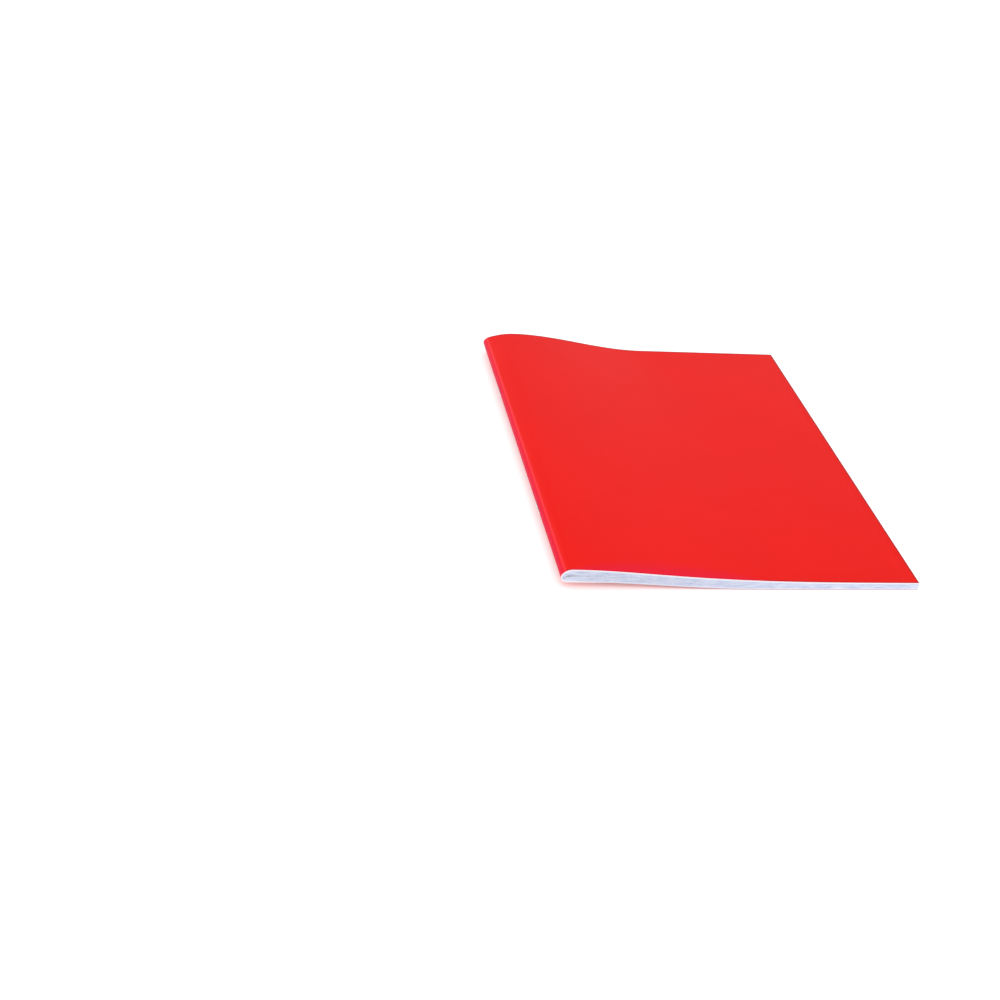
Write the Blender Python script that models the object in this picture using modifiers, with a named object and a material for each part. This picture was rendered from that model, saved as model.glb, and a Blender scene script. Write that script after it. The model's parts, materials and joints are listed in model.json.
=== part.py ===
"""A stapled exercise notebook, closed, lying on its back cover.

Sixteen sheets and a card cover are folded once around a common fold line and held by two wire staples
that pierce the spine and are clinched inside the centre fold. Metres, +Z up. +X runs from the spine to
the fore edge, +Y from the tail to the head, and the origin is under the middle of the notebook.

Every sheet is one front leaf, one back leaf and the fold between them. The leaves and the two cover
panels turn about one line, the centre of the concentric folds, which is the origin of every object.
"""

import math
from functools import partial

import bmesh
import bpy

# Trimmed size of the closed notebook, from the outside of the spine to the fore edge and tail to head
PAGE_WIDTH = 0.210
PAGE_HEIGHT = 0.297

# Paper and card
SHEETS = 16
PAPER = 0.00010
CARD = 0.00030
LEAF_GAP = 0.000030  # air between two leaves where they lie flat
COVER_GAP = 0.00004  # air between a cover panel and the first leaf where they lie flat
FOLD_GAP = 0.000045  # air between two folds at the spine

# Staples
STAPLE_WIRE = 0.00055
STAPLE_CROWN = 0.0120
STAPLE_BEND = 0.00035
STAPLE_INSET = 0.0740  # from the head or the tail to the middle of the staple
CLINCH_TIP_GAP = 0.0015  # between the two clinched tips
WIRE_CLEARANCE = 0.00005  # around the wire where it pierces or touches the paper
CLINCH_TO_AXIS = 0.00020  # from the fold line to the near side of the clinched wire

# How the leaves meet the folds
LEAF_TO_WIRE = 0.00020  # from a leaf's inner edge to a staple leg when the notebook is open
JOINT_GAP = 0.00010  # between a fold's edge and its leaf

# How the spine springs open
SPINE_LIFT = 0.0045  # from the table to the underside of the spine
BACK_RISE = 0.110  # length over which the back cover climbs to the spine
INNER_SPREAD = 0.010  # length over which the centre leaves close up beside the fold
TAIL_CREST = 0.00135  # how far the front cover rises over the round of the spine
HEAD_CREST = 0.00373
TAIL_CREST_DISTANCE = 0.0025  # from the fold line to the crest
HEAD_CREST_DISTANCE = 0.0172
TAIL_SWELL_END = 0.250  # from the fold line to where the swelling would end; past the fore edge at the tail
HEAD_SWELL_END = 0.110
SWELL_FALL = 0.0454  # length that sets how soon the swelling falls
CENTRE_SPLIT = 0.05  # share of the swollen thickness that is air between the two centre leaves

# Facets
LEAF_STEPS = 19
LEAF_STEP_GROWTH = 1.8  # how much closer the steps lie near the spine
HEIGHT_STEPS = 2
ARC_STEPS = 12
HOLE_SIDES = 12
BEND_STEPS = 3

# Sizes that follow
LEAF_PITCH = PAPER + LEAF_GAP
FOLD_PITCH = PAPER + FOLD_GAP
INNER_RADIUS = CLINCH_TO_AXIS + STAPLE_WIRE + WIRE_CLEARANCE  # inside of the centre fold
SPINE_INNER_RADIUS = INNER_RADIUS + SHEETS * FOLD_PITCH
SPINE_RADIUS = SPINE_INNER_RADIUS + CARD
SPINE_MIDDLE_RADIUS = SPINE_RADIUS - CARD / 2
PANEL_TO_LEAF = CARD / 2 + COVER_GAP + PAPER / 2  # from the middle of the card to the middle of a leaf
STAPLE_PROUD = WIRE_CLEARANCE + STAPLE_WIRE  # how far a crown stands out of the spine
FLAT_THICKNESS = 2 * (CARD + COVER_GAP) + (2 * SHEETS - 1) * LEAF_PITCH + PAPER
HINGE_X = STAPLE_PROUD + SPINE_RADIUS - (PAGE_WIDTH + STAPLE_PROUD) / 2
HINGE_Z = SPINE_LIFT + SPINE_RADIUS
LEAF_START = STAPLE_WIRE / 2 + LEAF_TO_WIRE
LEAF_END = PAGE_WIDTH - SPINE_RADIUS
FOLD_TAIL = LEAF_START - JOINT_GAP

# Colours, linear
RED_CARD = (0.80, 0.035, 0.028, 1.0)
WHITE_PAPER = (0.80, 0.83, 0.87, 1.0)
STEEL = (0.62, 0.63, 0.65, 1.0)


def clear_scene():
    for obj in list(bpy.data.objects):
        bpy.data.objects.remove(obj, do_unlink=True)


def new_collection(name, parent):
    made = bpy.data.collections.new(name)
    parent.children.link(made)
    return made


def new_material(name, colour, roughness, metallic=0.0):
    made = bpy.data.materials.new(name)
    made.use_nodes = True
    surface = made.node_tree.nodes["Principled BSDF"]
    surface.inputs["Base Color"].default_value = colour
    surface.inputs["Roughness"].default_value = roughness
    surface.inputs["Metallic"].default_value = metallic
    return made


def ease(share):
    """0 to 1 with level ends."""
    share = min(max(share, 0.0), 1.0)
    return share * share * (3 - 2 * share)


def between(low, high, share):
    return low + (high - low) * share


def underside(distance):
    """Height above the table of the back cover's outer face, at this distance from the fold line."""
    return SPINE_LIFT * (1 - ease(distance / BACK_RISE))


def headward(y):
    """0 at the tail edge, 1 at the head edge."""
    return y / PAGE_HEIGHT + 0.5


def crest_distance(y):
    return between(TAIL_CREST_DISTANCE, HEAD_CREST_DISTANCE, headward(y))


def swelling(distance, y):
    """Share of the swelling that is left: 1 up to the crest, then falling to 0."""
    crest = crest_distance(y)
    length = between(TAIL_SWELL_END, HEAD_SWELL_END, headward(y)) - crest
    share = min(max((distance - crest) / length, 0.0), 1.0)
    power = length / SWELL_FALL
    return (1 - share) ** power * (1 + power * share)


def upper_side(distance, y):
    """Height above the table of the front cover's outer face."""
    crest = crest_distance(y)
    before_crest = max(1 - distance / crest, 0.0)
    rise = 1 - crest / (crest + SPINE_RADIUS) * before_crest**2
    swollen = HINGE_Z + SPINE_RADIUS + between(TAIL_CREST, HEAD_CREST, headward(y)) * rise
    return between(FLAT_THICKNESS, swollen, swelling(distance, y))


def panel_height(side, distance, y):
    """Height above the table of the middle of a cover panel. side is 1 for the front, -1 for the back."""
    if side > 0:
        return upper_side(distance, y) - CARD / 2
    return underside(distance) + CARD / 2


def fold_radius(sheet):
    """Radius of the middle of a sheet's fold. Sheet 1 is the outermost."""
    return INNER_RADIUS + PAPER / 2 + (SHEETS - sheet) * FOLD_PITCH


def leaf_height(sheet, side, distance, y):
    """Height above the table of the middle of a leaf. side is 1 for a front leaf, -1 for a back leaf."""
    nested = fold_radius(sheet) / SPINE_MIDDLE_RADIUS
    folded = between(HINGE_Z, panel_height(side, distance, y), nested)
    order = 2 * SHEETS - sheet if side > 0 else sheet - 1
    outermost = 1 if side > 0 else 0
    share = between(order / (2 * SHEETS - 1), outermost, CENTRE_SPLIT * swelling(distance, y))
    lowest = panel_height(-1, distance, y) + PANEL_TO_LEAF
    highest = panel_height(1, distance, y) - PANEL_TO_LEAF
    stacked = between(lowest, highest, share)
    return between(folded, stacked, ease(distance / INNER_SPREAD))


def add_skin(name, place, steps_across, steps_along, thickness, material, collection, axis):
    """An open surface of place(share across, share along), given its thickness by Solidify."""
    bm = bmesh.new()
    bmesh.ops.create_grid(bm, x_segments=steps_across, y_segments=steps_along, size=0.5)
    for vertex in bm.verts:
        vertex.co = place(vertex.co.x + 0.5, vertex.co.y + 0.5)
    mesh = bpy.data.meshes.new(name)
    bm.to_mesh(mesh)
    bm.free()
    mesh.materials.append(material)
    obj = bpy.data.objects.new(name, mesh)
    obj.parent = axis
    collection.objects.link(obj)
    split = obj.modifiers.new("Triangulate", "TRIANGULATE")
    split.quad_method = "FIXED"
    skin = obj.modifiers.new("Solidify", "SOLIDIFY")
    skin.thickness = thickness
    skin.offset = 0.0
    skin.use_even_offset = True
    return obj


def add_flat_piece(name, height, thickness, material, collection, axis):
    """A leaf or a cover panel, from beside the fold line to the fore edge."""

    def place(across, along):
        distance = between(LEAF_START, LEAF_END, across**LEAF_STEP_GROWTH)
        y = between(-PAGE_HEIGHT / 2, PAGE_HEIGHT / 2, along)
        return (distance, y, height(distance, y) - HINGE_Z)

    return add_skin(name, place, LEAF_STEPS, HEIGHT_STEPS, thickness, material, collection, axis)


def add_fold(name, radius, height, thickness, material, collection, axis):
    """A round fold about the fold line, with a short edge towards each leaf, which has this height."""

    def place(across, along):
        y = between(-PAGE_HEIGHT / 2, PAGE_HEIGHT / 2, along)
        step = round(across * (ARC_STEPS + 2)) - 1
        side = 1 if step > ARC_STEPS / 2 else -1
        if step < 0 or step > ARC_STEPS:
            return (FOLD_TAIL, y, height(side, FOLD_TAIL, y) - HINGE_Z)
        turn = math.pi * (step / ARC_STEPS - 0.5)
        lean = abs(height(side, 0.0, y) - HINGE_Z) / radius - 1
        up = math.sin(turn) + side * lean * (1 - math.cos(turn)) ** 2
        return (-radius * math.cos(turn), y, radius * up)

    return add_skin(name, place, ARC_STEPS + 2, HEIGHT_STEPS, thickness, material, collection, axis)


def add_leg_cutters(collection, axis):
    """One bar along each staple leg, to pierce the folds."""
    length = 2 * SPINE_RADIUS
    side_radius = STAPLE_WIRE / 2 + WIRE_CLEARANCE
    for staple_y in staple_places():
        for leg_y in (staple_y - STAPLE_CROWN / 2, staple_y + STAPLE_CROWN / 2):
            bm = bmesh.new()
            bmesh.ops.create_cone(
                bm,
                cap_ends=True,
                segments=HOLE_SIDES,
                radius1=side_radius / math.cos(math.pi / HOLE_SIDES),
                radius2=side_radius / math.cos(math.pi / HOLE_SIDES),
                depth=length,
            )
            mesh = bpy.data.meshes.new("staple_leg_cutter")
            bm.to_mesh(mesh)
            bm.free()
            obj = bpy.data.objects.new("staple_leg_cutter", mesh)
            obj.parent = axis
            obj.location = (-length / 2, leg_y, 0.0)
            obj.rotation_euler = (0.0, math.pi / 2, 0.0)
            obj.hide_render = True
            obj.display_type = "WIRE"
            collection.objects.link(obj)


def pierce(obj, cutters):
    cut = obj.modifiers.new("Staple holes", "BOOLEAN")
    cut.operation = "DIFFERENCE"
    cut.operand_type = "COLLECTION"
    cut.collection = cutters
    cut.solver = "EXACT"


def staple_places():
    """The middle of the tail staple and of the head staple, along Y."""
    from_middle = PAGE_HEIGHT / 2 - STAPLE_INSET
    return (-from_middle, from_middle)


def rounded_corner(corner, before, after, radius):
    """Points of the arc that rounds a square corner, from the side of before to the side of after."""
    back = [math.copysign(1.0, b - c) if b != c else 0.0 for b, c in zip(before, corner)]
    on = [math.copysign(1.0, a - c) if a != c else 0.0 for a, c in zip(after, corner)]
    middle = [c + radius * (b + a) for c, b, a in zip(corner, back, on)]
    points = []
    for step in range(BEND_STEPS + 1):
        turn = math.pi / 2 * step / BEND_STEPS
        points.append(
            [
                m - radius * (a * math.cos(turn) + b * math.sin(turn))
                for m, a, b in zip(middle, on, back)
            ]
        )
    return points


def add_staple(name, y, material, collection, axis):
    """A bent wire: crown outside the spine, two legs through it, tips clinched inside the centre fold."""
    outer = -(SPINE_RADIUS + WIRE_CLEARANCE + STAPLE_WIRE / 2)
    inner = -(CLINCH_TO_AXIS + STAPLE_WIRE / 2)
    half = STAPLE_CROWN / 2
    tip = CLINCH_TIP_GAP / 2
    corners = [
        (inner, y - tip),
        (inner, y - half),
        (outer, y - half),
        (outer, y + half),
        (inner, y + half),
        (inner, y + tip),
    ]
    route = [corners[0]]
    for before, corner, after in zip(corners, corners[1:], corners[2:]):
        route += rounded_corner(corner, before, after, STAPLE_BEND)
    route.append(corners[-1])
    curve = bpy.data.curves.new(name, "CURVE")
    curve.dimensions = "3D"
    curve.bevel_depth = STAPLE_WIRE / 2
    curve.bevel_resolution = 2
    curve.use_fill_caps = True
    spline = curve.splines.new("POLY")
    spline.points.add(len(route) - 1)
    for point, (x, along) in zip(spline.points, route):
        point.co = (x, along, 0.0, 1.0)
    curve.materials.append(material)
    obj = bpy.data.objects.new(name, curve)
    obj.parent = axis
    collection.objects.link(obj)
    return obj


def add_cover(collection, cutters, axis):
    """One folded card, as its two panels and the round spine between them."""
    card = new_material("red coated card", RED_CARD, 0.38)
    for name, side in (("back_cover", -1), ("front_cover", 1)):
        add_flat_piece(name, partial(panel_height, side), CARD, card, collection, axis)
    spine = add_fold(
        "cover_spine", SPINE_MIDDLE_RADIUS, panel_height, CARD, card, collection, axis
    )
    pierce(spine, cutters)


def add_sheet(sheet, paper, collection, cutters, axis):
    """One folded sheet, as its two leaves and the fold between them."""
    name = f"sheet_{sheet:02d}"
    height = partial(leaf_height, sheet)
    for leaf, side in (("front_leaf", 1), ("back_leaf", -1)):
        add_flat_piece(f"{name}_{leaf}", partial(height, side), PAPER, paper, collection, axis)
    fold = add_fold(f"{name}_fold", fold_radius(sheet), height, PAPER, paper, collection, axis)
    pierce(fold, cutters)


def main():
    clear_scene()
    scene = bpy.context.scene.collection
    notebook = new_collection("notebook", scene)
    cutters = new_collection("notebook_cutters", scene)
    cutters.hide_render = True

    fold_line = bpy.data.objects.new("fold_line", None)
    fold_line.location = (HINGE_X, 0.0, HINGE_Z)
    notebook.objects.link(fold_line)

    add_leg_cutters(cutters, fold_line)
    add_cover(notebook, cutters, fold_line)

    paper = new_material("ruled white paper", WHITE_PAPER, 0.85)
    for sheet in range(1, SHEETS + 1):
        add_sheet(sheet, paper, notebook, cutters, fold_line)

    steel = new_material("zinc-coated wire", STEEL, 0.3, 1.0)
    for name, y in zip(("staple_tail", "staple_head"), staple_places()):
        add_staple(name, y, steel, notebook, fold_line)


main()
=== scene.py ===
"""Looks of a stapled exercise notebook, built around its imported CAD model.

A red card cover and sixteen squared sheets are folded once and held by two wire staples. Every piece of
card or paper comes from one Geometry Nodes rule, so that the pieces lie in each other as they do in the
CAD model: a leaf rises from the fold, swells beside the spine and closes up towards the fore edge.
Metres, +Z up. +X runs from the spine to the fore edge, +Y from the tail to the head.
"""

import json
import math

import bpy
from mathutils import Matrix, Vector


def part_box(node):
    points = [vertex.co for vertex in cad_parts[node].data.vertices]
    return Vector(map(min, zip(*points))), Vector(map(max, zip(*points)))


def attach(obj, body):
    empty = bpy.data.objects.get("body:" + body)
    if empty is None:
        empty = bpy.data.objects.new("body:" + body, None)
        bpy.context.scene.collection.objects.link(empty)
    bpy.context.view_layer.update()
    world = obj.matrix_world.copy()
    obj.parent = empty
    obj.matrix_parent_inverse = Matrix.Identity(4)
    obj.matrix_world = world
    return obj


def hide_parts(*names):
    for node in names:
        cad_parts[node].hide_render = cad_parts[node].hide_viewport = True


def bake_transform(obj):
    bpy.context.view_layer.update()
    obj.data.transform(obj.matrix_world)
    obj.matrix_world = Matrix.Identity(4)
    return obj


bl_info = {
    "name": "Stapled notebook",
    "version": (1, 0, 0),
    "blender": (4, 5, 0),
    "location": "View3D > Sidebar > Notebook",
    "description": "Builds a stapled exercise notebook of card, squared paper and wire",
    "category": "Add Mesh",
}

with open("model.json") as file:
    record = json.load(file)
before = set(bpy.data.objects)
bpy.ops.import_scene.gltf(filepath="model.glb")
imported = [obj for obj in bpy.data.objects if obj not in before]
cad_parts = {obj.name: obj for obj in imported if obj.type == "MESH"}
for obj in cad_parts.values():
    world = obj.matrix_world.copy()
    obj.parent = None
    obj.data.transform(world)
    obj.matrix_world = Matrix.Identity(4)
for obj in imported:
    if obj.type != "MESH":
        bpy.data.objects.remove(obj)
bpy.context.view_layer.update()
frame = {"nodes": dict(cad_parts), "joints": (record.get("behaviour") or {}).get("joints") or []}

# Read from the CAD model
JOINTS = {joint["name"]: joint for joint in frame["joints"]}
HINGE = Vector(JOINTS["front_cover_hinge"]["pos_m"])
SHEETS = sum(name.endswith("_fold") for name in frame["nodes"])
COVER_LOW, COVER_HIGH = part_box("back_cover")
PAGE_HEIGHT = COVER_HIGH.y - COVER_LOW.y
LEAF_START = COVER_LOW.x - HINGE.x
LEAF_END = COVER_HIGH.x - HINGE.x
SPINE_RADIUS = HINGE.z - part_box("cover_spine")[0].z

# Paper and card, as in the CAD model
PAPER = 0.00010
CARD = 0.00030
LEAF_GAP = 0.000030
COVER_GAP = 0.00004
FOLD_GAP = 0.000045
LEAF_PITCH = PAPER + LEAF_GAP
FOLD_PITCH = PAPER + FOLD_GAP
INNER_RADIUS = SPINE_RADIUS - CARD - SHEETS * FOLD_PITCH
SPINE_MIDDLE_RADIUS = SPINE_RADIUS - CARD / 2
FLAT_THICKNESS = 2 * (CARD + COVER_GAP) + (2 * SHEETS - 1) * LEAF_PITCH + PAPER

# How the spine springs open, as in the CAD model
SPINE_LIFT = HINGE.z - SPINE_RADIUS
SPINE_TOP = HINGE.z + SPINE_RADIUS
BACK_RISE = 0.110
INNER_SPREAD = 0.010
TAIL_CREST = 0.00135
HEAD_CREST = 0.00373
TAIL_CREST_DISTANCE = 0.0025
HEAD_CREST_DISTANCE = 0.0172
TAIL_SWELL_END = 0.250
HEAD_SWELL_END = 0.110
SWELL_FALL = 0.0454
CENTRE_SPLIT = 0.05

# Staples, as in the CAD model
WIRE = 0.00055
STAPLE_CROWN = 0.0120
STAPLE_BEND = 0.00035
STAPLE_INSET = 0.0740
CLINCH_TIP_GAP = 0.0015
WIRE_CLEARANCE = 0.00005
CLINCH_TO_AXIS = 0.00020

PRINT_PLAY = 0.0025  # how far the print wanders from sheet to sheet
GOLDEN_SHARE = 0.618  # spreads the sheets' print shifts evenly, in no visible order

# Facets
STEPS_ACROSS = 96
STEPS_ALONG = 24
STEP_GROWTH = 1.5  # how much closer the steps lie beside the spine
ARC_STEPS = 24
TAIL_STEPS = 3
HOLE_SIDES = 16
WIRE_SIDES = 16
BEND_STEPS = 6
HAIRLINE = 0.000005  # overlap of a fold and its leaf
HAIR_TURN = 0.0015  # overlap of the two halves of a fold, in radians
MERGE_DISTANCE = 0.000001
SHARP_ANGLE = math.radians(40)
SKIN_COSINE = 0.8  # least cosine between the arc's normal and a face of a fold's two skins

# The share of a quarter fold's way at which it is half turned, see blend_fold
TURN_FORWARD = 0.4345
TURN_UP = 0.0655

NODE_STEP = 200  # between nodes in the editor


def linear(code):
    """The linear RGBA of an sRGB hex colour."""
    shares = [int(code[i : i + 2], 16) / 255 for i in (0, 2, 4)]
    return (*[s / 12.92 if s <= 0.04045 else ((s + 0.055) / 1.055) ** 2.4 for s in shares], 1.0)


def in_use(sockets, key):
    """The socket of this number or name, among those that the node's settings leave in use."""
    shown = [socket for socket in sockets if socket.enabled]
    return shown[key] if isinstance(key, int) else next(s for s in shown if s.name == key)


def fill(node, inputs):
    """Gives each named or numbered input a value, or a link from a socket or a node's first output."""
    for key, value in dict(inputs).items():
        if isinstance(value, bpy.types.Node):
            value = in_use(value.outputs, 0)
        if isinstance(value, bpy.types.NodeSocket):
            node.id_data.links.new(value, in_use(node.inputs, key))
        else:
            in_use(node.inputs, key).default_value = value


def add_node(tree, kind, inputs=(), **settings):
    """Adds a node with its settings, values and links."""
    made = tree.nodes.new(kind)
    made.location = (NODE_STEP * len(tree.nodes), 0)
    for name, value in settings.items():
        setattr(made, name, value)
    fill(made, inputs)
    return made


class NotebookSizes(bpy.types.PropertyGroup):
    """Sizes that can be changed without a change to the CAD model."""

    card: bpy.props.FloatProperty(
        name="Card", description="Thickness of the cover card", default=CARD, unit="LENGTH"
    )
    paper: bpy.props.FloatProperty(
        name="Paper", description="Thickness of a sheet", default=PAPER, unit="LENGTH"
    )
    wire: bpy.props.FloatProperty(
        name="Wire", description="Diameter of the staple wire", default=WIRE, unit="LENGTH"
    )
    square: bpy.props.FloatProperty(
        name="Squares", description="Spacing of the printed squares", default=0.005, unit="LENGTH"
    )
    ruling: bpy.props.FloatProperty(
        name="Ruling", description="Width of a printed line", default=0.0002, unit="LENGTH"
    )


class NotebookColours(bpy.types.PropertyGroup):
    """Colours of the card, the paper, the print, the wire and the floor."""

    card_red: bpy.props.FloatVectorProperty(
        name="Card red",
        description="Coated side of the cover",
        default=linear("ED1008"),
        size=4,
        subtype="COLOR",
    )
    # Dark red: ink drawn over the cut, and painted shade along the cover's edges and on the back cover's
    # cut edge
    card_edge_ink_and_shade_red: bpy.props.FloatVectorProperty(
        name="Card edge red",
        description="Coated side where the cut presses it down, and ink drawn over the cut",
        default=linear("A00C16"),
        size=4,
        subtype="COLOR",
    )
    # Painted reflection and shade: a cooler red round the spine and along the tail edge beside it
    card_reflection_red: bpy.props.FloatVectorProperty(
        name="Card fold red",
        description="Coated side where the card is bent: round the spine and along its curled tail",
        default=linear("E80A3A"),
        size=4,
        subtype="COLOR",
    )
    # Painted highlight on the ridge between the spine and the front
    card_highlight_red: bpy.props.FloatVectorProperty(
        name="Card rubbed red",
        description="Coated side on the ridge where the spine meets the front",
        default=linear("FF3044"),
        size=4,
        subtype="COLOR",
    )
    card_white: bpy.props.FloatVectorProperty(
        name="Card white",
        description="Uncoated inside of the cover",
        default=linear("F6F1F3"),
        size=4,
        subtype="COLOR",
    )
    card_cut: bpy.props.FloatVectorProperty(
        name="Card cut",
        description="Cut edge of the cover, with a little ink drawn over it by the blade",
        default=linear("FFF0F3"),
        size=4,
        subtype="COLOR",
    )
    paper_white: bpy.props.FloatVectorProperty(
        name="Paper white",
        description="Page",
        default=linear("F1F4FB"),
        size=4,
        subtype="COLOR",
    )
    edge_white: bpy.props.FloatVectorProperty(
        name="Edge white",
        description="Cut edge of the pages",
        default=linear("F1F4FF"),
        size=4,
        subtype="COLOR",
    )
    # Also the painted shade on the cut edges of the inner sheets
    edge_shade: bpy.props.FloatVectorProperty(
        name="Edge shade",
        description="Speckle on the cut edges of the pages, and the shade between fibres",
        default=linear("B4B9DE"),
        size=4,
        subtype="COLOR",
    )
    print_blue: bpy.props.FloatVectorProperty(
        name="Print blue",
        description="Printed squares",
        default=linear("9DB2D6"),
        size=4,
        subtype="COLOR",
    )
    steel: bpy.props.FloatVectorProperty(
        name="Steel",
        description="Staple wire",
        default=linear("C9CBD0"),
        size=4,
        subtype="COLOR",
    )
    floor: bpy.props.FloatVectorProperty(
        name="Floor",
        description="Floor",
        default=linear("FFFFFF"),
        size=4,
        subtype="COLOR",
    )


class NotebookStage(bpy.types.PropertyGroup):
    """Light around the notebook."""

    sky: bpy.props.FloatProperty(
        name="Sky", description="Strength of the even light from all sides", default=0.70
    )
    key: bpy.props.FloatProperty(
        name="Key", description="Power of the lamp in front", default=48.5, unit="POWER"
    )
    rear: bpy.props.FloatProperty(
        name="Rear", description="Power of the low lamp behind the spine", default=2.0, unit="POWER"
    )


def new_material(name):
    """A material, its tree and its Principled BSDF."""
    made = bpy.data.materials.new(name)
    made.use_nodes = True
    return made, made.node_tree, made.node_tree.nodes["Principled BSDF"]


def red_card(scene):
    """Coated card: litho board with a smooth clay coating under red ink and a thin satin varnish.

    The eye gets an even, deep red with a weak sheen and a barely uneven ink film. On it lie painted
    shade in a darker line along the cut edges, a painted reflection and shade in cooler red round the
    spine and along the tail beside it, and a painted highlight on the ridge between the spine and the
    front.
    """
    made, tree, surface = new_material("red coated card")
    colours = scene.notebook_colours
    place = add_node(tree, "ShaderNodeTexCoord").outputs["Object"]
    # Ink density drifts over some 60 mm of the sheet
    drift = add_node(tree, "ShaderNodeTexNoise", {"Vector": place, "Scale": 1 / 0.060, "Detail": 2.0})
    dense = add_node(
        tree, "ShaderNodeMapRange", {"Value": drift, "From Min": 0.35, "From Max": 0.65, "To Max": 0.05}
    )
    axes = add_node(tree, "ShaderNodeSeparateXYZ", {"Vector": place})
    # Painted shade: a darker line along the head, tail and fore edges, drawn 1.6 mm wide so that it
    # shows
    painted_edge_width = 0.0016
    along = add_node(tree, "ShaderNodeMath", {0: axes.outputs["Y"]}, operation="ABSOLUTE")
    short_edges = add_node(
        tree,
        "ShaderNodeMapRange",
        {"Value": along, "From Min": PAGE_HEIGHT / 2 - painted_edge_width, "From Max": PAGE_HEIGHT / 2},
    )
    fore_edge = add_node(
        tree,
        "ShaderNodeMapRange",
        {"Value": axes.outputs["X"], "From Min": COVER_HIGH.x - painted_edge_width, "From Max": COVER_HIGH.x},
    )
    edge = add_node(tree, "ShaderNodeMath", {0: short_edges, 1: fore_edge}, operation="MAXIMUM")
    share = add_node(tree, "ShaderNodeMath", {0: edge, 1: dense}, operation="MAXIMUM")
    ink = add_node(
        tree,
        "ShaderNodeMix",
        {"Factor": share, "A": colours.card_red, "B": colours.card_edge_ink_and_shade_red},
        data_type="RGBA",
    )
    # Roundness is 1 on the outermost line of the fold and 0 where the panels begin. The round of the
    # spine gets a painted reflection and shade in cooler red, and a ridge beside it a painted highlight.
    ridge = 0.40
    ridge_half_width = 0.25
    roundness = add_node(tree, "ShaderNodeAttribute", attribute_name="roundness").outputs["Fac"]
    painted_spine_reflection = add_node(
        tree,
        "ShaderNodeMapRange",
        {"Value": roundness, "From Min": 0.58, "From Max": 0.76},
        interpolation_type="SMOOTHSTEP",
    )
    # Painted reflection in cooler red along the tail, widest halfway along the part of the tail edge
    # that the swelling lifts, where the product of the shares of its length to either end is a quarter
    tail_reflection_length = 0.115
    tail_reflection_width = 0.017
    least_width = 0.0001  # beyond its ends, where the width would be nought
    along_tail = add_node(
        tree,
        "ShaderNodeMapRange",
        {"Value": axes.outputs["X"], "From Min": HINGE.x, "From Max": HINGE.x + tail_reflection_length},
    )
    onward = add_node(tree, "ShaderNodeMath", {0: 1.0, 1: along_tail}, operation="SUBTRACT")
    bow = add_node(tree, "ShaderNodeMath", {0: along_tail, 1: onward}, operation="MULTIPLY")
    reach = add_node(
        tree, "ShaderNodeMath", {0: bow, 1: 4 * tail_reflection_width, 2: least_width}, operation="MULTIPLY_ADD"
    )
    from_tail = add_node(tree, "ShaderNodeMath", {0: axes.outputs["Y"], 1: PAGE_HEIGHT / 2})
    reflecting = add_node(
        tree,
        "ShaderNodeMapRange",
        {"Value": from_tail, "From Min": reach, "From Max": 0.0, "To Max": 0.65},
        interpolation_type="SMOOTHSTEP",
    )
    # Painted reflection and shade round the spine and along the tail
    bent = add_node(tree, "ShaderNodeMath", {0: painted_spine_reflection, 1: reflecting}, operation="MAXIMUM")
    folded = add_node(
        tree, "ShaderNodeMix", {"Factor": bent, "A": ink, "B": colours.card_reflection_red}, data_type="RGBA"
    )
    # Painted highlight: a lighter red line on the ridge beside the round of the spine
    beside = add_node(tree, "ShaderNodeMath", {0: roundness, 1: ridge}, operation="SUBTRACT")
    apart = add_node(tree, "ShaderNodeMath", {0: beside}, operation="ABSOLUTE")
    highlighted = add_node(
        tree,
        "ShaderNodeMapRange",
        {"Value": apart, "From Min": ridge_half_width, "From Max": 0.0, "To Max": 0.8},
        interpolation_type="SMOOTHSTEP",
    )
    card = add_node(
        tree,
        "ShaderNodeMix",
        {"Factor": highlighted, "A": folded, "B": colours.card_highlight_red},
        data_type="RGBA",
    )
    # Varnish: fibres under the coating telegraph through at 0.3 mm, drawn at 0.9 mm
    fibre = add_node(tree, "ShaderNodeTexNoise", {"Vector": place, "Scale": 1 / 0.0009, "Detail": 3.0})
    varnish = add_node(tree, "ShaderNodeMapRange", {"Value": fibre, "To Min": 0.34, "To Max": 0.46})
    relief = add_node(tree, "ShaderNodeBump", {"Height": fibre, "Strength": 0.12, "Distance": 0.00003})
    fill(
        surface, {"Base Color": card, "Roughness": varnish, "Normal": relief, "Specular IOR Level": 0.06}
    )
    return made


def white_card(scene):
    """Uncoated side of the card: matt white pulp with soft fibres."""
    made, tree, surface = new_material("uncoated white card")
    colours = scene.notebook_colours
    place = add_node(tree, "ShaderNodeTexCoord").outputs["Object"]
    # Hardwood fibres are some 0.7 mm long
    pulp = add_node(tree, "ShaderNodeTexNoise", {"Vector": place, "Scale": 1 / 0.0007, "Detail": 4.0})
    tone = add_node(
        tree, "ShaderNodeMapRange", {"Value": pulp, "From Min": 0.3, "From Max": 0.7, "To Max": 0.18}
    )
    white = add_node(
        tree,
        "ShaderNodeMix",
        {"Factor": tone, "A": colours.card_white, "B": colours.edge_shade},
        data_type="RGBA",
    )
    relief = add_node(tree, "ShaderNodeBump", {"Height": pulp, "Strength": 0.25, "Distance": 0.00004})
    fill(surface, {"Base Color": white, "Roughness": 0.85, "Normal": relief, "Specular IOR Level": 0.25})
    return made


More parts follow.
